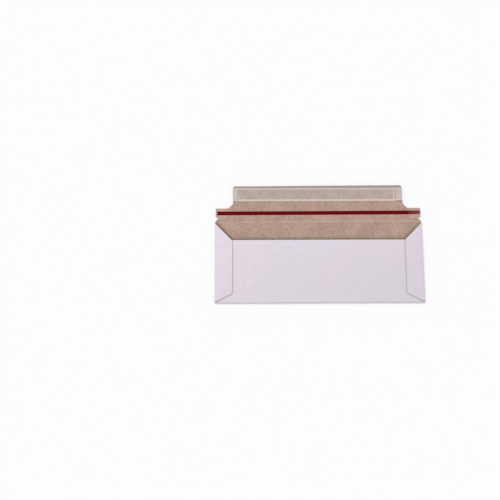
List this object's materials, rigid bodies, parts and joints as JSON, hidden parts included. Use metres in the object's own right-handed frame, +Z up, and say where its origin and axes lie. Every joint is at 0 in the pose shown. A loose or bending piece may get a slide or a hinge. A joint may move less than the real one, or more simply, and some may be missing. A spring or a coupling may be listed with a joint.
{
  "type": "packing list envelope",
  "caption": "Rigid board envelope with an open self-sealing closure flap, a release liner and a tear-open tape, for packing lists and other flat papers.",
  "frame": {"origin": "the middle of the open envelope's outline, on the surface that its address side lies on", "axes": "+X along the closure crease, +Y from the pocket towards the closure flap's free edge, +Z up out of the back panel"},
  "size_m": [0.225, 0.129, 0.0033],
  "materials": {
    "white_board": "matte",
    "red_tape": "satin",
    "seal_adhesive": "satin",
    "release_liner": "satin",
    "flap_glue": "satin"
  },
  "bodies": {
    "root": {"envelope_board": "white_board", "tear_tape": "red_tape", "seal_adhesive": "seal_adhesive", "release_liner": "release_liner", "side_glue_left": "flap_glue", "side_glue_right": "flap_glue"}
  },
  "joints": []
}
